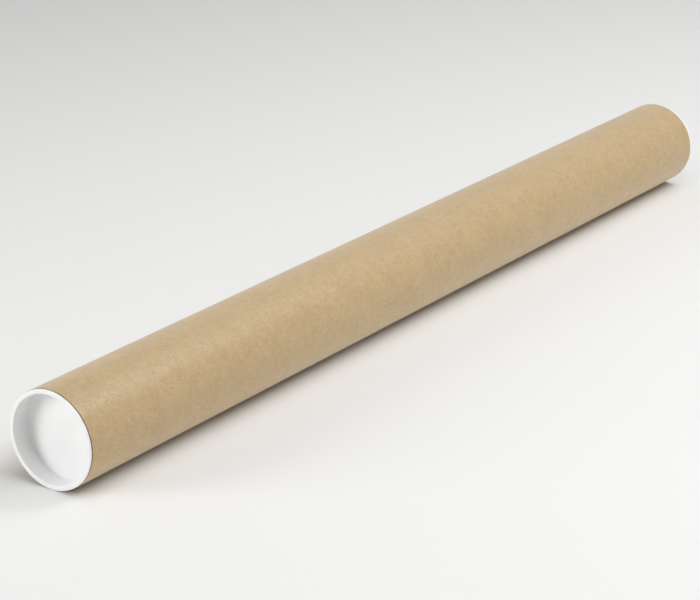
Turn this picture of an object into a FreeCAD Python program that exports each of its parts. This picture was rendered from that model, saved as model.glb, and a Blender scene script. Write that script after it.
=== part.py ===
# Cardboard mailing tube standing on its end, with a moulded plastic plug in each end.
# Millimetres. +Z runs up the tube, and the origin is the centre of the lip it stands on.
import FreeCAD, Part
import math
import os
import Sketcher

# Driving dimensions: the alias of the sheet's cell, its value, and what it measures
SIZES = [
    ("bore_diameter", 76.2, "inside of the tube, the size that rolled sheets fit"),
    ("tube_wall", 1.7, "thickness of the wound paperboard"),
    ("tube_length", 914.4, "cut length of the paperboard tube"),
    ("cut_edge_bevel", 0.25, "softened corner where the tube was cut off"),
    ("lip_step", 0.3, "how far the lip stops short of the tube's outside"),
    ("lip_thickness", 1.7, "thickness of the lip that covers the tube's cut end"),
    ("rim_bevel", 0.35, "bevel round the outer edge of the lip's face"),
    ("mouth_bevel", 0.45, "bevel where the lip turns down into the recess"),
    ("plug_clearance", 0.05, "radial gap between the plug and the bore, under the lip"),
    ("plug_wall", 2.05, "thickness of the plug's wall at its mouth"),
    ("draft_degrees", 0.8, "taper of the plug's wall, inside and outside"),
    ("recess_depth", 15.0, "from the lip's face down to the recess floor"),
    ("corner_bevel", 1.5, "slope between the recess wall and its floor"),
    ("floor_thickness", 1.6, "thickness of the plug's closed end"),
    ("nose_bevel", 1.2, "lead-in round the plug's closed end"),
]
FIRST_ROW = 2


# The sheet of sizes

def make_size_sheet(doc):
    """Put each driving dimension in a cell of its own, with its alias and its meaning."""
    sheet = doc.addObject("Spreadsheet::Sheet", "sizes")
    for column, title in zip("ABC", ("size", "value", "measures")):
        sheet.set(f"{column}{FIRST_ROW - 1}", title)
    for row, (alias, value, meaning) in enumerate(SIZES, FIRST_ROW):
        sheet.set(f"A{row}", alias)
        sheet.set(f"B{row}", str(value))
        sheet.set(f"C{row}", meaning)
        sheet.setAlias(f"B{row}", alias)
    doc.recompute()
    return sheet


# Sketches

def origin_plane(body, role):
    """One of the body's own origin planes, such as XY_Plane."""
    return next(item for item in body.Origin.OriginFeatures if item.Role == role)


def new_sketch(body, name, plane):
    """An empty sketch that lies on one of the body's own origin planes."""
    sketch = body.newObject("Sketcher::SketchObject", name)
    sketch.AttachmentSupport = (origin_plane(body, plane), [""])
    sketch.MapMode = "FlatFace"
    return sketch


def bind(sketch, constraint, name, formula):
    """Add a named dimension to the sketch and let it follow the sheet."""
    sketch.addConstraint(constraint)
    sketch.renameConstraint(sketch.ConstraintCount - 1, name)
    sketch.setExpression(f"Constraints.{name}", formula)


def draw_ring(sketch, formulas):
    """Draw circles about the origin whose radii follow the sheet."""
    for name, formula in formulas:
        radius = float(sketch.evalExpression(formula))
        circle = Part.Circle(FreeCAD.Vector(0, 0, 0), FreeCAD.Vector(0, 0, 1), radius)
        edge = sketch.addGeometry(circle, False)
        sketch.addConstraint(Sketcher.Constraint("Coincident", edge, 3, -1, 1))
        bind(sketch, Sketcher.Constraint("Radius", edge, radius), name, formula)


def draw_outline(sketch, corners):
    """Draw a closed outline of straight lines whose corners follow the sheet.

    Each corner is a name and the formulas of its distances from the two sketch axes.
    A formula of None keeps the corner on that axis.
    """
    def start(formula):
        return 0.0 if formula is None else float(sketch.evalExpression(formula))

    points = [FreeCAD.Vector(start(across), start(along), 0) for _, across, along in corners]
    count = len(corners)
    for index, point in enumerate(points):
        sketch.addGeometry(Part.LineSegment(point, points[(index + 1) % count]), False)
    for index in range(count):
        following = (index + 1) % count
        sketch.addConstraint(Sketcher.Constraint("Coincident", index, 2, following, 1))
    for index, (name, across, along) in enumerate(corners):
        x, y = points[index].x, points[index].y
        if across is None:
            sketch.addConstraint(Sketcher.Constraint("PointOnObject", index, 1, -2))
        else:
            distance = Sketcher.Constraint("DistanceX", -1, 1, index, 1, x)
            bind(sketch, distance, f"{name}_radius", across)
        if along is None:
            sketch.addConstraint(Sketcher.Constraint("PointOnObject", index, 1, -1))
        else:
            distance = Sketcher.Constraint("DistanceY", -1, 1, index, 1, y)
            bind(sketch, distance, f"{name}_depth", along)


# Bevelled edges

def edges_at(feature, radius, height):
    """Names of the feature's round edges of that radius at that height."""
    names = []
    for number, edge in enumerate(feature.Shape.Edges, 1):
        if not isinstance(edge.Curve, Part.Circle):
            continue
        same_radius = math.isclose(edge.Curve.Radius, radius, abs_tol=1e-4)
        same_height = math.isclose(edge.Curve.Center.z, height, abs_tol=1e-4)
        if same_radius and same_height:
            names.append(f"Edge{number}")
    return names


def bevel_edges(body, name, places, size_alias):
    """Bevel the edges at the given radii and heights, in the body's own frame."""
    base = body.Tip
    edges = []
    for radius, height in places:
        found = edges_at(base, float(base.evalExpression(radius)), float(base.evalExpression(height)))
        if not found:
            raise RuntimeError(f"{name}: no edge of radius {radius} at {height}")
        edges.extend(found)
    bevel = body.newObject("PartDesign::Chamfer", name)
    bevel.Base = (base, edges)
    bevel.setExpression("Size", f"sizes.{size_alias}")
    body.Document.recompute()
    return bevel


# The pieces

BORE_RADIUS = "sizes.bore_diameter / 2"
TUBE_RADIUS = f"{BORE_RADIUS} + sizes.tube_wall"
LIP_RADIUS = f"{TUBE_RADIUS} - sizes.lip_step"
PLUG_RADIUS = f"{BORE_RADIUS} - sizes.plug_clearance"
MOUTH_RADIUS = f"{PLUG_RADIUS} - sizes.plug_wall"
PLUG_END = "sizes.recess_depth + sizes.floor_thickness"
TAPER = "tan(sizes.draft_degrees * 1 deg)"
NOSE_RADIUS = f"{PLUG_RADIUS} - ({PLUG_END} - sizes.lip_thickness) * {TAPER}"
FLOOR_RADIUS = f"{MOUTH_RADIUS} - sizes.recess_depth * {TAPER}"


def make_tube(doc):
    """The paperboard tube: a ring drawn on the floor of the tube and padded to its length."""
    body = doc.addObject("PartDesign::Body", "tube")
    body.Label = "tube"
    ring = new_sketch(body, "tube_section", "XY_Plane")
    draw_ring(ring, [("bore_radius", BORE_RADIUS), ("outside_radius", TUBE_RADIUS)])
    wall = body.newObject("PartDesign::Pad", "wound_wall")
    wall.Profile = ring
    wall.setExpression("Length", "sizes.tube_length")
    doc.recompute()
    cut_edges = [(radius, end) for radius in (BORE_RADIUS, TUBE_RADIUS) for end in ("0", "sizes.tube_length")]
    bevel_edges(body, "cut_edges", cut_edges, "cut_edge_bevel")
    body.setExpression("Placement.Base.z", "sizes.lip_thickness")
    return body


def make_end_cap(doc, name):
    """A moulded plug, turned about its axis from half its section.

    In its own frame the lip's face is at zero and the plug goes up, into the tube.
    """
    body = doc.addObject("PartDesign::Body", name)
    body.Label = name
    section = new_sketch(body, f"{name}_section", "XZ_Plane")
    draw_outline(section, [
        ("mouth", MOUTH_RADIUS, None),
        ("lip_face", LIP_RADIUS, None),
        ("lip_back", LIP_RADIUS, "sizes.lip_thickness"),
        ("plug_root", PLUG_RADIUS, "sizes.lip_thickness"),
        ("plug_nose", NOSE_RADIUS, PLUG_END),
        ("nose_centre", None, PLUG_END),
        ("floor_centre", None, "sizes.recess_depth"),
        ("floor_edge", FLOOR_RADIUS, "sizes.recess_depth"),
    ])
    moulding = body.newObject("PartDesign::Revolution", f"{name}_moulding")
    moulding.Profile = section
    moulding.ReferenceAxis = (section, ["V_Axis"])
    moulding.Angle = 360
    doc.recompute()
    bevel_edges(body, f"{name}_rim", [(LIP_RADIUS, "0")], "rim_bevel")
    bevel_edges(body, f"{name}_mouth", [(MOUTH_RADIUS, "0")], "mouth_bevel")
    bevel_edges(body, f"{name}_corner", [(FLOOR_RADIUS, "sizes.recess_depth")], "corner_bevel")
    bevel_edges(body, f"{name}_nose", [(NOSE_RADIUS, PLUG_END)], "nose_bevel")
    return body


def make_mailing_tube(doc):
    """The tube with a plug pushed into each end, the lower one's lip on the floor."""
    tube = make_tube(doc)
    lower_cap = make_end_cap(doc, "end_cap_bottom")
    upper_cap = make_end_cap(doc, "end_cap_top")
    upper_cap.Placement.Rotation = FreeCAD.Rotation(FreeCAD.Vector(1, 0, 0), 180)
    upper_cap.setExpression("Placement.Base.z", "sizes.tube_length + 2 * sizes.lip_thickness")
    doc.recompute()
    return [tube, lower_cap, upper_cap]


# Checking and writing

def check(doc, pieces):
    """Stop if a feature failed or a piece isn't one sound solid."""
    for item in doc.Objects:
        if {"Invalid", "Error"} & set(item.State):
            raise RuntimeError(f"{item.Name} failed: {item.State}")
    for piece in pieces:
        shape = piece.Shape
        if shape.isNull() or not shape.isValid() or len(shape.Solids) != 1:
            raise RuntimeError(f"{piece.Label} isn't one valid solid")


def main():
    doc = FreeCAD.newDocument("mailing_tube")
    make_size_sheet(doc)
    pieces = make_mailing_tube(doc)
    check(doc, pieces)
    os.makedirs("parts", exist_ok=True)
    for piece in pieces:
        box = piece.Shape.BoundBox
        print(f"{piece.Label}: {piece.Shape.Volume:.0f} mm3, z {box.ZMin:.2f} to {box.ZMax:.2f}, "
              f"across {box.XLength:.2f}")
        piece.Shape.exportStep(f"parts/{piece.Label}.step")


main()
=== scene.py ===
"""A cardboard mailing tube, dressed around its fixed CAD frame.

The tube stands on end in the part's frame. The photograph shows it lying down, so the stage is
an upright pale surface that touches the tube's side, and the camera is turned to match.
"""

import math

import bmesh
import bpy
from bpy.props import FloatProperty, FloatVectorProperty, IntProperty, PointerProperty
from mathutils import Matrix, Vector


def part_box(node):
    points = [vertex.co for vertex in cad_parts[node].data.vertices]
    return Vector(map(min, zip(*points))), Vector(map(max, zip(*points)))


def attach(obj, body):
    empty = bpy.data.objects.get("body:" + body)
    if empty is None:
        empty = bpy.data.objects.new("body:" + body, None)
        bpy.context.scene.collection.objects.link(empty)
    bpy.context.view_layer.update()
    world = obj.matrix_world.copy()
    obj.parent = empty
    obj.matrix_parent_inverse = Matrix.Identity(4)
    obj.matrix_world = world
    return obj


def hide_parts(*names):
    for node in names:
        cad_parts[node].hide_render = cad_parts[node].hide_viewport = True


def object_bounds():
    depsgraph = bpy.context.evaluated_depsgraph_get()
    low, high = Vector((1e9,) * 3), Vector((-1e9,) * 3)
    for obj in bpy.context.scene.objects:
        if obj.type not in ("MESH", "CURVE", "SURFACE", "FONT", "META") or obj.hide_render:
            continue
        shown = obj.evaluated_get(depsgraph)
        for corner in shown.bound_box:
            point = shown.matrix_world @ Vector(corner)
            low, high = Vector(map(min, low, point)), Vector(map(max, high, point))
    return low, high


bl_info = {
    "name": "Mailing Tube",
    "version": (1, 0, 0),
    "blender": (4, 5, 0),
    "location": "3D View > Sidebar > Mailing Tube",
    "description": "A wound kraft paper mailing tube with moulded end caps, on a pale surface",
    "category": "Object",
}

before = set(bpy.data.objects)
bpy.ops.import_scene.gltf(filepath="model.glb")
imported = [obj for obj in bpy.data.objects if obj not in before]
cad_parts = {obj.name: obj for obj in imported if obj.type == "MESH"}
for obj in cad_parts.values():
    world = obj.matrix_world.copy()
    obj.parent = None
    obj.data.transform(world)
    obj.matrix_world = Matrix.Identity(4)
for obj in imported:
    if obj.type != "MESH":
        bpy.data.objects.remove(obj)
CAD_LOW, CAD_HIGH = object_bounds()

# Directions of the tube as it lies in the photograph, in the part's frame
AWAY = Vector((0, 0, -1))
UP = Vector((1, -1, 0)).normalized()
SIDE = Vector((-1, -1, 0)).normalized()

SHARP_ANGLE = math.radians(32)

# Sizes of the paper's pattern, as features for each metre, and the height of its relief
CLOUDS, FLOCKS, GRAIN = 45.0, 140.0, 620.0
PALE_FIBRES, BROWN_FIBRES, FLECKS = 420.0, 300.0, 520.0
PAPER_RELIEF = 0.00005

# How strongly each paper shows its clouds, its grain and its fibres
OUTSIDE_PATTERN = (0.32, 1.05, 0.6)
INSIDE_PATTERN = (0.5, 1.3, 0.7)
CUT_PATTERN = (0.5, 1.6, 0.5)

# Sizes of the plastic's pattern, as features for each metre, and the height of its relief
TINT, SCUFFS, PEEL = 55.0, 340.0, 620.0
PLASTIC_RELIEF = 0.000012

# Depths at a cut and the reach of the glue's dark line, in widths of the glue line
GLUE_DEPTH = 1.5
TORN_PLY_DEPTH = 0.6
GLUE_REACH = 1.5

# A face of the tube that leans further than this towards an end takes the cut's colour, so the rounded cut
# corners also carry the cut's painted shade
CUT_LEAN = 0.4

# Each lamp's place as the tube lies: towards its far end, up, and towards the camera's side
LAMPS = {
    "near_end": (-2.01, 0.62, -1.16),
    "key": (1.02, 1.92, 1.02),
    "top": (-0.71, 2.26, 0.41),
    "camera_side": (0, 1.92, 1.44),
    "camera_side_low": (0, 1.38, 1.97),
    "far_end": (1.44, 1.92, 0),
    "underneath": (0, -2.4, 0),
    "underneath_behind": (0, -1.7, -1.7),
}


def radii(node):
    """The smallest and largest distance of a CAD node's corners from the tube's axis."""
    found = [corner.co.to_2d().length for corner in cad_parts[node].data.vertices]
    return min(found), max(found)


BORE_RADIUS, TUBE_RADIUS = radii("tube")
LIP_RADIUS = radii("end_cap_top")[1]
TUBE_BOTTOM, TUBE_TOP = (corner.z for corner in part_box("tube"))
CAP_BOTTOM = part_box("end_cap_bottom")[0].z
CAP_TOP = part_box("end_cap_top")[1].z
PLUG_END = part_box("end_cap_bottom")[1].z
LIP_THICKNESS = TUBE_BOTTOM - CAP_BOTTOM


# Sizes and colours that a user would change

class WoundTubeSettings(bpy.types.PropertyGroup):
    """Sizes of the wound tube and of its cut ends"""
    segments: IntProperty(name="Segments", description="Steps round the tube", default=256, min=32)
    rows: IntProperty(name="Rows", description="Steps along the tube", default=36, min=1)
    plies: IntProperty(name="Plies", description="Layers of paper in the wall", default=5, min=1)
    glue_line: FloatProperty(
        name="Glue line", description="Width and depth of the line between two plies at the cut",
        default=0.00005, precision=5, unit="LENGTH")
    cut_round: FloatProperty(
        name="Cut round", description="Softening of the corners where the tube was cut off",
        default=0.00035, precision=5, unit="LENGTH")
    crushed_edge: FloatProperty(
        name="Crushed edge", description="How far the outer ply stands back from the inner one at a cut",
        default=0.0007, precision=5, unit="LENGTH")


class EndCapSettings(bpy.types.PropertyGroup):
    """Sizes of a moulded end cap"""
    segments: IntProperty(name="Segments", description="Steps round a cap", default=192, min=32)
    mouth_radius: FloatProperty(
        name="Mouth radius", description="Radius of the recess at the lip",
        default=0.036, precision=4, unit="LENGTH")
    floor_thickness: FloatProperty(
        name="Floor thickness", description="Thickness of the cap's closed end",
        default=0.0016, precision=4, unit="LENGTH")
    draft: FloatProperty(
        name="Draft", description="Taper of the plug's wall", default=math.radians(0.8),
        subtype="ANGLE")
    root_clearance: FloatProperty(
        name="Root clearance", description="Radial gap between the plug and the bore at the lip",
        default=0.00005, precision=5, unit="LENGTH")
    rim_round: FloatProperty(
        name="Rim round", description="Rounding of the lip's two outer corners",
        default=0.00032, precision=5, unit="LENGTH")
    mouth_round: FloatProperty(
        name="Mouth round", description="Rounding from the lip into the recess",
        default=0.0006, precision=4, unit="LENGTH")
    corner_round: FloatProperty(
        name="Corner round", description="Fillet between the recess wall and its floor",
        default=0.0007, precision=4, unit="LENGTH")
    nose_round: FloatProperty(
        name="Nose round", description="Lead-in round the cap's closed end",
        default=0.0014, precision=4, unit="LENGTH")


def colour(name, description, value):
    """A colour property with its default."""
    return FloatVectorProperty(
        name=name, description=description, default=value, size=3, min=0, max=1, subtype="COLOR")


class FinishSettings(bpy.types.PropertyGroup):
    """Colours of the paper and the plastic"""
    kraft_light: colour("Kraft, light", "Lightest tone of the outer ply", (0.58, 0.421, 0.226))
    kraft_dark: colour("Kraft, dark", "Darkest tone of the outer ply", (0.370, 0.260, 0.126))
    inside_light: colour("Inside, light", "Lightest tone of the inner ply", (0.52, 0.41, 0.27))
    inside_dark: colour("Inside, dark", "Darkest tone of the inner ply", (0.40, 0.30, 0.19))
    pale_fibre: colour("Pale fibre", "Bleached fibres in the paper", (0.78, 0.66, 0.47))
    brown_fibre: colour("Brown fibre", "Bark and knot fibres in the paper", (0.20, 0.12, 0.055))
    # Grey-brown core plies at the cut. They are made darker than the plies alone, so they also paint the
    # shade in the gap under each cap's lip.
    core_light_with_painted_shade: colour("Core, light", "Lightest tone of the plies at the cut", (0.34, 0.27, 0.19))
    core_dark_with_painted_shade: colour("Core, dark", "Darkest tone of the plies at the cut", (0.20, 0.155, 0.105))
    glue: colour("Glue line", "Dark line between two plies at the cut", (0.12, 0.085, 0.05))
    plastic: colour("Plastic", "White moulded plastic", (0.866, 0.867, 0.869))


def lamp_power(name, place, watts):
    """A power property for one lamp."""
    return FloatProperty(
        name=name, description=f"Power of the lamp at the {place}", default=watts, min=0, unit="POWER")


class StageSettings(bpy.types.PropertyGroup):
    """The surface, the background, the camera and the lamps"""
    surface: colour("Surface", "Pale surface that the tube lies on", (0.812, 0.810, 0.799))
    background: colour("Background", "Seen beyond the surface", (0.8, 0.8, 0.79))
    surface_width: FloatProperty(
        name="Surface width", description="Side of the square surface", default=9.0, unit="LENGTH")
    lens: FloatProperty(name="Lens", description="Focal length in millimetres", default=129.0)
    camera_height: FloatProperty(
        name="Camera height", description="Above the surface", default=0.7855, unit="LENGTH")
    camera_behind: FloatProperty(
        name="Camera behind", description="Distance behind the tube's near end, along the tube",
        default=1.2486, unit="LENGTH")
    camera_across: FloatProperty(
        name="Camera across", description="Distance from the tube's axis, across the tube",
        default=1.1574, unit="LENGTH")
    camera_tilt: FloatProperty(
        name="Camera tilt", description="How far the camera looks down",
        default=math.radians(20.626), subtype="ANGLE")
    camera_heading: FloatProperty(
        name="Camera heading", description="Angle between the view and the tube, from above",
        default=math.radians(35.380), subtype="ANGLE")
    dome: FloatProperty(name="Dome", description="Light from all round", default=0.29, min=0)
    lamp_size: FloatProperty(name="Lamp size", description="Side of each lamp", default=0.95, unit="LENGTH")
    near_end: lamp_power("Near end", "near end, low", 24.6)
    key: lamp_power("Key", "camera side and the far end, half way up", 20.5)
    top: lamp_power("Top", "above the near end", 11.6)
    camera_side: lamp_power("Camera side", "camera side, half way up", 10.6)
    camera_side_low: lamp_power("Camera side, low", "camera side, lower", 4.4)
    far_end: lamp_power("Far end", "far end, half way up", 3.8)
    underneath: lamp_power("Underneath", "other side of the surface, for views from there", 18.0)
    underneath_behind: lamp_power("Underneath, behind", "other side of the surface, behind the tube", 26.0)


# Shader nodes

def add_node(tree, kind, inputs=(), **settings):
    """Add a node, set its properties and give its inputs a value or a link each."""
    node = tree.nodes.new(kind)
    for name, value in settings.items():
        setattr(node, name, value)
    for name, value in dict(inputs).items():
        if isinstance(value, bpy.types.NodeSocket):
            tree.links.new(value, node.inputs[name])
        else:
            node.inputs[name].default_value = value
    return node


def calculate(tree, operation, first, second=0.0, clamp=False):
    """A Math node's output."""
    node = add_node(tree, "ShaderNodeMath", {0: first, 1: second}, operation=operation, use_clamp=clamp)
    return node.outputs[0]


def remap(tree, value, low, high, to_low=0.0, to_high=1.0, smooth=True):
    """Spread a value from one range over another, clamped."""
    kind = "SMOOTHSTEP" if smooth else "LINEAR"
    sources = {"Value": value, "From Min": low, "From Max": high, "To Min": to_low, "To Max": to_high}
    return add_node(tree, "ShaderNodeMapRange", sources, interpolation_type=kind).outputs[0]


def mix_colours(tree, factor, first, second):
    """A Mix node's colour output. A colour may be a socket or three numbers."""
    def four(value):
        return value if isinstance(value, bpy.types.NodeSocket) else (*value, 1.0)
    node = add_node(tree, "ShaderNodeMix", {0: factor, 6: four(first), 7: four(second)}, data_type="RGBA")
    return node.outputs[2]


def noise(tree, vector, per_metre, detail=2.0, roughness=0.5, distortion=0.0):
    """A Noise texture's value, with its size as features for each metre."""
    sources = {"Vector": vector, "Scale": per_metre, "Detail": detail,
               "Roughness": roughness, "Distortion": distortion}
    return add_node(tree, "ShaderNodeTexNoise", sources).outputs["Fac"]


def shifted(tree, vector, offset):
    """The same coordinates, moved to another part of the texture."""
    return add_node(tree, "ShaderNodeVectorMath", {0: vector, 1: offset}, operation="ADD").outputs[0]


def new_group(name, inputs, outputs):
    """A shader node group with its sockets, and its two end nodes."""
    group = bpy.data.node_groups.new(name, "ShaderNodeTree")
    for label, kind, default in inputs:
        socket = group.interface.new_socket(name=label, in_out="INPUT", socket_type=kind)
        if default is not None:
            socket.default_value = default
    for label, kind in outputs:
        group.interface.new_socket(name=label, in_out="OUTPUT", socket_type=kind)
    return group, group.nodes.new("NodeGroupInput"), group.nodes.new("NodeGroupOutput")


def strands(tree, vector, per_metre, width, kept):
    """Short curved hairs: the level lines of a soft noise, broken up by a coarser one."""
    waves = noise(tree, vector, per_metre, detail=1.0, distortion=0.8)
    off_line = calculate(tree, "ABSOLUTE", calculate(tree, "SUBTRACT", waves, 0.5))
    line = remap(tree, off_line, 0.0, width, 1.0, 0.0)
    gaps = noise(tree, shifted(tree, vector, (3.1, 1.7, 5.3)), per_metre * 0.9, detail=0.0)
    return calculate(tree, "MULTIPLY", line, remap(tree, gaps, kept, kept + 0.06))


def paper_grain_group():
    """Group of the mottle, fibres and flecks that every paper surface here shares."""
    group, start, end = new_group(
        "Paper Grain",
        [("Vector", "NodeSocketVector", None), ("Mottle", "NodeSocketFloat", 0.5),
         ("Grain", "NodeSocketFloat", 0.5)],
        [("Tone", "NodeSocketFloat"), ("Pale Fibre", "NodeSocketFloat"),
         ("Brown Fibre", "NodeSocketFloat"), ("Height", "NodeSocketFloat")])
    vector = start.outputs["Vector"]

    clouds = noise(group, vector, CLOUDS, detail=2.0)
    flocks = noise(group, shifted(group, vector, (7.7, 2.9, 4.1)), FLOCKS, detail=4.0, roughness=0.75)
    grain = noise(group, shifted(group, vector, (1.3, 8.5, 6.7)), GRAIN, detail=3.0, roughness=0.7)
    mottle = calculate(group, "MULTIPLY", calculate(group, "SUBTRACT", clouds, 0.5), start.outputs["Mottle"])
    flocks_share = calculate(group, "MULTIPLY", start.outputs["Grain"], 0.75)
    soft = calculate(group, "MULTIPLY", calculate(group, "SUBTRACT", flocks, 0.5), flocks_share)
    fine = calculate(group, "MULTIPLY", calculate(group, "SUBTRACT", grain, 0.5), start.outputs["Grain"])
    both = calculate(group, "ADD", soft, fine)
    tone = calculate(group, "ADD", calculate(group, "ADD", mottle, both), 0.5, clamp=True)

    pale = strands(group, vector, PALE_FIBRES, width=0.012, kept=0.50)
    brown = strands(
        group, shifted(group, vector, (9.1, 0.4, 2.2)), BROWN_FIBRES, width=0.008, kept=0.60)
    spots = noise(group, shifted(group, vector, (5.9, 6.1, 0.7)), FLECKS, detail=1.0)
    flecks = remap(group, spots, 0.735, 0.775)
    dark = calculate(group, "MAXIMUM", brown, flecks)

    raised = calculate(group, "ADD", calculate(group, "MULTIPLY", pale, 0.35), grain)
    height = calculate(group, "ADD", raised, calculate(group, "MULTIPLY", flocks, 0.8))

    group.links.new(tone, end.inputs["Tone"])
    group.links.new(pale, end.inputs["Pale Fibre"])
    group.links.new(dark, end.inputs["Brown Fibre"])
    group.links.new(height, end.inputs["Height"])
    return group


def new_material(name):
    """An empty node material with its output, its shader and its object coordinates."""
    material = bpy.data.materials.new(name)
    material.use_nodes = True
    tree = material.node_tree
    tree.nodes.clear()
    shader = tree.nodes.new("ShaderNodeBsdfPrincipled")
    output = tree.nodes.new("ShaderNodeOutputMaterial")
    tree.links.new(shader.outputs["BSDF"], output.inputs["Surface"])
    place = tree.nodes.new("ShaderNodeTexCoord").outputs["Object"]
    return material, tree, shader, place


def bump(tree, height, distance):
    """A Bump node's normal."""
    node = add_node(tree, "ShaderNodeBump", {"Height": height, "Distance": distance})
    return node.outputs["Normal"]


def paper_material(name, group, tones, finish, pattern):
    """Uncoated paper between a light and a dark tone, with its fibres."""
    light, dark = tones
    mottle, grain, fibre = pattern
    material, tree, shader, place = new_material(name)
    paper = add_node(tree, "ShaderNodeGroup", node_tree=group)
    tree.links.new(place, paper.inputs["Vector"])
    paper.inputs["Mottle"].default_value = mottle
    paper.inputs["Grain"].default_value = grain
    tone = mix_colours(tree, paper.outputs["Tone"], dark, light)
    pale_share = calculate(tree, "MULTIPLY", paper.outputs["Pale Fibre"], fibre)
    with_pale = mix_colours(tree, pale_share, tone, finish.pale_fibre)
    brown_share = calculate(tree, "MULTIPLY", paper.outputs["Brown Fibre"], fibre)
    base = mix_colours(tree, brown_share, with_pale, finish.brown_fibre)
    tree.links.new(base, shader.inputs["Base Color"])
    rough = remap(tree, paper.outputs["Tone"], 0.0, 1.0, 0.44, 0.32, smooth=False)
    tree.links.new(rough, shader.inputs["Roughness"])
    tree.links.new(bump(tree, paper.outputs["Height"], PAPER_RELIEF), shader.inputs["Normal"])
    shader.inputs["IOR"].default_value = 1.45
    shader.inputs["Specular IOR Level"].default_value = 0.4
    shader.inputs["Sheen Weight"].default_value = 0.17
    shader.inputs["Sheen Roughness"].default_value = 0.5
    return material, tree, shader, place, base


def cut_material(group, finish, tube):
    """The cut end of the wall: grey-brown core plies with a dark glue line between them. The plies are
    darker than they really are, as painted shade of the gap under each cap's lip.
    """
    tones = finish.core_light_with_painted_shade, finish.core_dark_with_painted_shade
    material, tree, shader, place, base = paper_material(
        "kraft_cut_end", group, tones, finish, CUT_PATTERN)
    x_y_z = add_node(tree, "ShaderNodeSeparateXYZ", {"Vector": place})
    squares = [calculate(tree, "MULTIPLY", x_y_z.outputs[axis], x_y_z.outputs[axis]) for axis in "XY"]
    radius = calculate(tree, "SQRT", calculate(tree, "ADD", *squares))
    ply = (TUBE_RADIUS - BORE_RADIUS) / tube.plies
    across = calculate(tree, "PINGPONG", calculate(tree, "SUBTRACT", radius, BORE_RADIUS), ply)
    line = remap(tree, across, 0.0, tube.glue_line * GLUE_REACH, 1.0, 0.0)
    tree.links.new(mix_colours(tree, line, base, finish.glue), shader.inputs["Base Color"])
    return material


def plastic_material(finish):
    """White moulded polyethylene: satin and faintly uneven."""
    material, tree, shader, place = new_material("white_polyethylene")
    tint = noise(tree, place, TINT, detail=2.0)
    warmer = tuple(channel * share for channel, share in zip(finish.plastic, (0.985, 0.98, 0.965)))
    base = mix_colours(tree, remap(tree, tint, 0.35, 0.65), finish.plastic, warmer)
    tree.links.new(base, shader.inputs["Base Color"])
    scuffs = noise(tree, shifted(tree, place, (2.0, 4.0, 1.0)), SCUFFS, detail=4.0, roughness=0.7)
    tree.links.new(remap(tree, scuffs, 0.3, 0.7, 0.36, 0.5), shader.inputs["Roughness"])
    peel = noise(tree, place, PEEL, detail=1.0)
    tree.links.new(bump(tree, peel, PLASTIC_RELIEF), shader.inputs["Normal"])
    shader.inputs["IOR"].default_value = 1.51
    shader.inputs["Specular IOR Level"].default_value = 0.4
    return material


def surface_material(settings):
    """Pale matt surface, seen from its front only.

    Light passes through it to what the camera sees directly, so that the tube's far side is lit in
    views from behind, while the tube still darkens the surface where they touch.
    """
    material = bpy.data.materials.new("pale_surface")
    material.use_nodes = True
    tree = material.node_tree
    tree.nodes.clear()
    output = tree.nodes.new("ShaderNodeOutputMaterial")
    matt = add_node(tree, "ShaderNodeBsdfDiffuse", {"Color": (*settings.surface, 1.0)})
    clear = tree.nodes.new("ShaderNodeBsdfTransparent")
    behind = tree.nodes.new("ShaderNodeNewGeometry").outputs["Backfacing"]
    rays = tree.nodes.new("ShaderNodeLightPath").outputs
    first = calculate(tree, "LESS_THAN", rays["Ray Depth"], 1.5)
    lighting = calculate(tree, "MULTIPLY", rays["Is Shadow Ray"], first)
    through = calculate(tree, "MAXIMUM", behind, lighting)
    mix = add_node(tree, "ShaderNodeMixShader", {0: through, 1: matt.outputs[0], 2: clear.outputs[0]})
    tree.links.new(mix.outputs[0], output.inputs["Surface"])
    return material


# Meshes

def ring_edges(bm, radius, height, tolerance=1e-6):
    """The edges of the ring of corners at that radius and height."""
    def on_ring(corner):
        return (abs(corner.co.to_2d().length - radius) < tolerance
                and abs(corner.co.z - height) < tolerance)
    return [edge for edge in bm.edges if all(on_ring(corner) for corner in edge.verts)]


def spin_section(bm, section, segments):
    """Turn a closed outline of (radius, height) corners about Z into a closed shell."""
    corners = [bm.verts.new((radius, 0, height)) for radius, height in section]
    edges = [bm.edges.new((corner, corners[index - 1])) for index, corner in enumerate(corners)]
    bmesh.ops.spin(
        bm, geom=corners + edges, cent=(0, 0, 0), axis=(0, 0, 1), dvec=(0, 0, 0),
        angle=math.tau, steps=segments, use_merge=True, use_normal_flip=False, use_duplicate=False)
    bmesh.ops.remove_doubles(bm, verts=bm.verts, dist=1e-7)


def round_ring(bm, radius, height, size, segments=4):
    """Round the ring of edges at that radius and height."""
    bmesh.ops.bevel(
        bm, geom=ring_edges(bm, radius, height), offset=size, offset_type="OFFSET",
        segments=segments, profile=0.5, affect="EDGES", material=-1, clamp_overlap=True)


def finish_piece(bm, name, materials, body, replaced):
    """Make the mesh an object that rides on its body and stands for its CAD node."""
    bmesh.ops.recalc_face_normals(bm, faces=bm.faces)
    for face in bm.faces:
        face.smooth = True
    for edge in bm.edges:
        edge.smooth = edge.calc_face_angle(0.0) < SHARP_ANGLE
    mesh = bpy.data.meshes.new(name)
    bm.to_mesh(mesh)
    bm.free()
    for material in materials:
        mesh.materials.append(material)
    piece = bpy.data.objects.new(name, mesh)
    bpy.context.scene.collection.objects.link(piece)
    weighted = piece.modifiers.new("Flat faces stay flat", "WEIGHTED_NORMAL")
    weighted.keep_sharp = True
    weighted.weight = 100
    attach(piece, body)
    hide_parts(replaced)
    return piece


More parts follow.
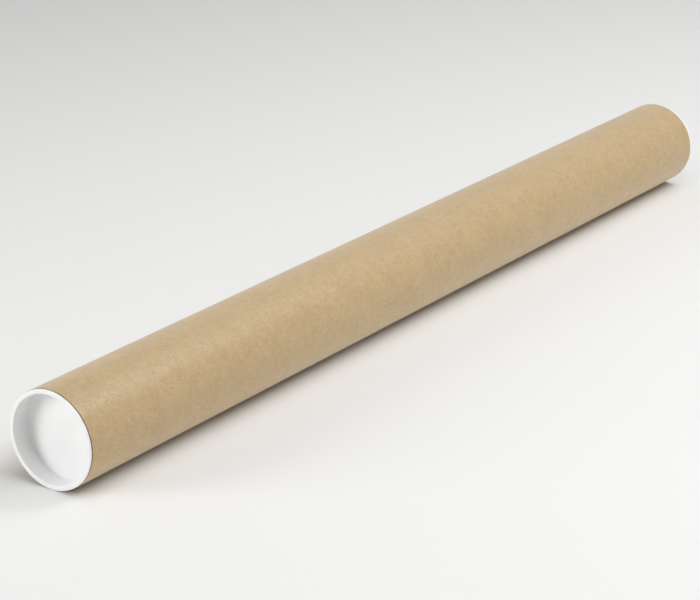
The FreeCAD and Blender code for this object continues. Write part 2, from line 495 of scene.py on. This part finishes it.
def cut_outline(end, inward, settings):
    """Corners across a cut end, from the bore out: each ply's edge, and the glue lines between.

    The knife crushed the wall a little towards its outside, and tore back every second ply.
    """
    wall = TUBE_RADIUS - BORE_RADIUS
    half = settings.glue_line / 2

    def corner(radius, torn):
        crushed = settings.crushed_edge * ((radius - BORE_RADIUS) / wall) ** 2
        return radius, end + inward * (crushed + settings.glue_line * torn)

    outline = []
    for index in range(settings.plies):
        inner = BORE_RADIUS + wall * index / settings.plies
        outer = BORE_RADIUS + wall * (index + 1) / settings.plies
        if index:
            outline.append(corner(inner, GLUE_DEPTH))
        torn = TORN_PLY_DEPTH * (index % 2)
        outline.append(corner(inner + half if index else inner, torn))
        outline.append(corner(outer - half if index < settings.plies - 1 else outer, torn))
    return outline


def build_tube(settings, materials):
    """The wound tube, with its plies showing at both cut ends."""
    bm = bmesh.new()
    bottom = cut_outline(TUBE_BOTTOM, 1, settings)
    top = cut_outline(TUBE_TOP, -1, settings)
    spin_section(bm, bottom + top[::-1], settings.segments)
    half_length = (TUBE_TOP - TUBE_BOTTOM) / 2
    walls = [edge for edge in bm.edges if abs(edge.verts[0].co.z - edge.verts[1].co.z) > half_length]
    bmesh.ops.subdivide_edges(bm, edges=walls, cuts=settings.rows - 1, use_grid_fill=True)
    for corner in (bottom[0], bottom[-1], top[0], top[-1]):
        round_ring(bm, *corner, settings.cut_round, segments=3)
    for face in bm.faces:
        # The cut and its rounded corners get the darker cut material. This is the plies' own grey-brown plus
        # painted shade of the gap under the cap's lip.
        distance = face.calc_center_median().to_2d().length
        between = BORE_RADIUS + settings.cut_round < distance < TUBE_RADIUS - settings.cut_round
        if between or abs(face.normal.z) > CUT_LEAN:
            face.material_index = 2
        else:
            face.material_index = int(distance < (BORE_RADIUS + TUBE_RADIUS) / 2)
    return finish_piece(bm, "wound_tube", materials, "tube", "tube")


def cap_section(settings):
    """Corners of half a cap: the lip's face is at zero and the plug goes up.

    They are also named, for the rounding.
    """
    taper = math.tan(settings.draft)
    floor_height = PLUG_END - CAP_BOTTOM - settings.floor_thickness
    plug_end = PLUG_END - CAP_BOTTOM
    root = BORE_RADIUS - settings.root_clearance
    return {
        "mouth": (settings.mouth_radius, 0.0),
        "rim": (LIP_RADIUS, 0.0),
        "lip_back": (LIP_RADIUS, LIP_THICKNESS),
        "root": (root, LIP_THICKNESS),
        "nose": (root - (plug_end - LIP_THICKNESS) * taper, plug_end),
        "nose_centre": (0.0, plug_end),
        "floor_centre": (0.0, floor_height),
        "corner": (settings.mouth_radius - floor_height * taper, floor_height),
    }


def build_cap(name, node, settings, material, face_height, upside_down):
    """One moulded end cap, turned over for the tube's upper end."""
    bm = bmesh.new()
    corners = cap_section(settings)
    spin_section(bm, list(corners.values()), settings.segments)
    rounds = (("mouth", settings.mouth_round, 4), ("rim", settings.rim_round, 4),
              ("lip_back", settings.rim_round, 4), ("nose", settings.nose_round, 5),
              ("corner", settings.corner_round, 7))
    for corner, size, segments in rounds:
        round_ring(bm, *corners[corner], size, segments)
    if upside_down:
        bmesh.ops.rotate(bm, verts=bm.verts, cent=(0, 0, 0), matrix=Matrix.Rotation(math.pi, 3, "X"))
    bmesh.ops.translate(bm, verts=bm.verts, vec=(0, 0, face_height))
    return finish_piece(bm, name, [material], node, node)


# Stage

def lying_point(away, up, side):
    """A point measured from the tube's middle, on the surface that the tube lies on."""
    middle = Vector((0, 0, (CAD_LOW.z + CAD_HIGH.z) / 2)) - UP * TUBE_RADIUS
    return middle + AWAY * away + UP * up + SIDE * side


def look(forward, up):
    """Rotation of a camera or lamp that looks along forward, with up at the top."""
    right = forward.cross(up).normalized()
    return Matrix((right, right.cross(forward), -forward)).transposed().to_4x4()


def build_surface(settings, material):
    """The pale surface, upright in the part's frame because the tube stands on end."""
    bm = bmesh.new()
    bmesh.ops.create_grid(bm, x_segments=1, y_segments=1, size=settings.surface_width / 2)
    turn = Matrix((SIDE, AWAY, UP)).transposed().to_4x4()
    bmesh.ops.transform(bm, matrix=Matrix.Translation(lying_point(0, 0, 0)) @ turn, verts=bm.verts)
    mesh = bpy.data.meshes.new("pale_surface")
    bm.to_mesh(mesh)
    bm.free()
    mesh.materials.append(material)
    surface = bpy.data.objects.new("pale_surface", mesh)
    bpy.context.scene.collection.objects.link(surface)


def add_lamp(name, place, size, power):
    """A soft square lamp at a lying point, turned to the tube, that no camera sees."""
    lamp = bpy.data.lights.new(name, "AREA")
    lamp.shape = "SQUARE"
    lamp.size = size
    lamp.energy = power
    stand = bpy.data.objects.new(name, lamp)
    start = lying_point(*place)
    forward = (lying_point(0, 0, 0) - start).normalized()
    stand.matrix_world = Matrix.Translation(start) @ look(forward, AWAY)
    stand.visible_camera = False
    bpy.context.scene.collection.objects.link(stand)


def add_camera(settings):
    """The photograph's camera, placed from the tube as it lies."""
    near_end = -(CAD_HIGH.z - CAD_LOW.z) / 2
    place = lying_point(near_end - settings.camera_behind, settings.camera_height, settings.camera_across)
    level = AWAY * math.cos(settings.camera_heading) - SIDE * math.sin(settings.camera_heading)
    forward = level * math.cos(settings.camera_tilt) - UP * math.sin(settings.camera_tilt)
    data = bpy.data.cameras.new("camera")
    data.lens = settings.lens
    data.clip_end = 100
    camera = bpy.data.objects.new("camera", data)
    camera.matrix_world = Matrix.Translation(place) @ look(forward, UP)
    bpy.context.scene.collection.objects.link(camera)
    bpy.context.scene.camera = camera


def set_world(settings):
    """Even light from all round, and a pale background for the camera."""
    world = bpy.data.worlds.new("pale_room")
    world.use_nodes = True
    tree = world.node_tree
    tree.nodes.clear()
    dome = add_node(tree, "ShaderNodeBackground", {"Color": (1, 1, 1, 1), "Strength": settings.dome})
    seen = add_node(tree, "ShaderNodeBackground", {"Color": (*settings.background, 1), "Strength": 1.0})
    rays = tree.nodes.new("ShaderNodeLightPath").outputs
    mirrored = calculate(tree, "MAXIMUM", rays["Is Glossy Ray"], rays["Is Transmission Ray"])
    shown = calculate(tree, "MAXIMUM", rays["Is Camera Ray"], mirrored)
    mix = add_node(tree, "ShaderNodeMixShader", {0: shown, 1: dome.outputs[0], 2: seen.outputs[0]})
    output = tree.nodes.new("ShaderNodeOutputWorld")
    tree.links.new(mix.outputs[0], output.inputs["Surface"])
    bpy.context.scene.world = world


# Operators

class MAILINGTUBE_OT_wind_tube(bpy.types.Operator):
    """Make the wound paper tube in place of its plain CAD solid"""
    bl_idname = "mailing_tube.wind_tube"
    bl_label = "Wind Tube"

    def execute(self, context):
        tube = context.scene.mailing_tube_paper
        finish = context.scene.mailing_tube_finish
        group = paper_grain_group()
        outer = finish.kraft_light, finish.kraft_dark
        outside = paper_material("kraft_outside", group, outer, finish, OUTSIDE_PATTERN)[0]
        inner = finish.inside_light, finish.inside_dark
        inside = paper_material("kraft_inside", group, inner, finish, INSIDE_PATTERN)[0]
        build_tube(tube, [outside, inside, cut_material(group, finish, tube)])
        return {"FINISHED"}


class MAILINGTUBE_OT_mould_caps(bpy.types.Operator):
    """Make the two moulded end caps in place of their plain CAD solids"""
    bl_idname = "mailing_tube.mould_caps"
    bl_label = "Mould Caps"

    def execute(self, context):
        settings = context.scene.mailing_tube_caps
        material = plastic_material(context.scene.mailing_tube_finish)
        build_cap("moulded_cap_bottom", "end_cap_bottom", settings, material, CAP_BOTTOM, False)
        build_cap("moulded_cap_top", "end_cap_top", settings, material, CAP_TOP, True)
        return {"FINISHED"}


class MAILINGTUBE_OT_set_stage(bpy.types.Operator):
    """Make the pale surface, the lamps and the camera"""
    bl_idname = "mailing_tube.set_stage"
    bl_label = "Set Stage"

    def execute(self, context):
        settings = context.scene.mailing_tube_stage
        build_surface(settings, surface_material(settings))
        set_world(settings)
        for name, place in LAMPS.items():
            add_lamp(f"{name}_lamp", place, settings.lamp_size, getattr(settings, name))
        add_camera(settings)
        context.scene.view_settings.view_transform = "Standard"
        return {"FINISHED"}


class MAILINGTUBE_PT_panel(bpy.types.Panel):
    """Lists the mailing tube's operators"""
    bl_label = "Mailing Tube"
    bl_idname = "MAILINGTUBE_PT_panel"
    bl_space_type = "VIEW_3D"
    bl_region_type = "UI"
    bl_category = "Mailing Tube"

    def draw(self, context):
        for operator in OPERATORS:
            self.layout.operator(operator.bl_idname)


OPERATORS = (MAILINGTUBE_OT_wind_tube, MAILINGTUBE_OT_mould_caps, MAILINGTUBE_OT_set_stage)
SETTINGS = {
    "mailing_tube_paper": WoundTubeSettings,
    "mailing_tube_caps": EndCapSettings,
    "mailing_tube_finish": FinishSettings,
    "mailing_tube_stage": StageSettings,
}


def register():
    for settings in SETTINGS.values():
        bpy.utils.register_class(settings)
    for name, settings in SETTINGS.items():
        setattr(bpy.types.Scene, name, PointerProperty(type=settings))
    for cls in (*OPERATORS, MAILINGTUBE_PT_panel):
        bpy.utils.register_class(cls)


def unregister():
    for cls in reversed((*OPERATORS, MAILINGTUBE_PT_panel)):
        bpy.utils.unregister_class(cls)
    for name in SETTINGS:
        delattr(bpy.types.Scene, name)
    for settings in reversed(SETTINGS.values()):
        bpy.utils.unregister_class(settings)


def main():
    register()
    bpy.ops.mailing_tube.wind_tube()
    bpy.ops.mailing_tube.mould_caps()
    bpy.ops.mailing_tube.set_stage()


if __name__ == "__main__":
    main()
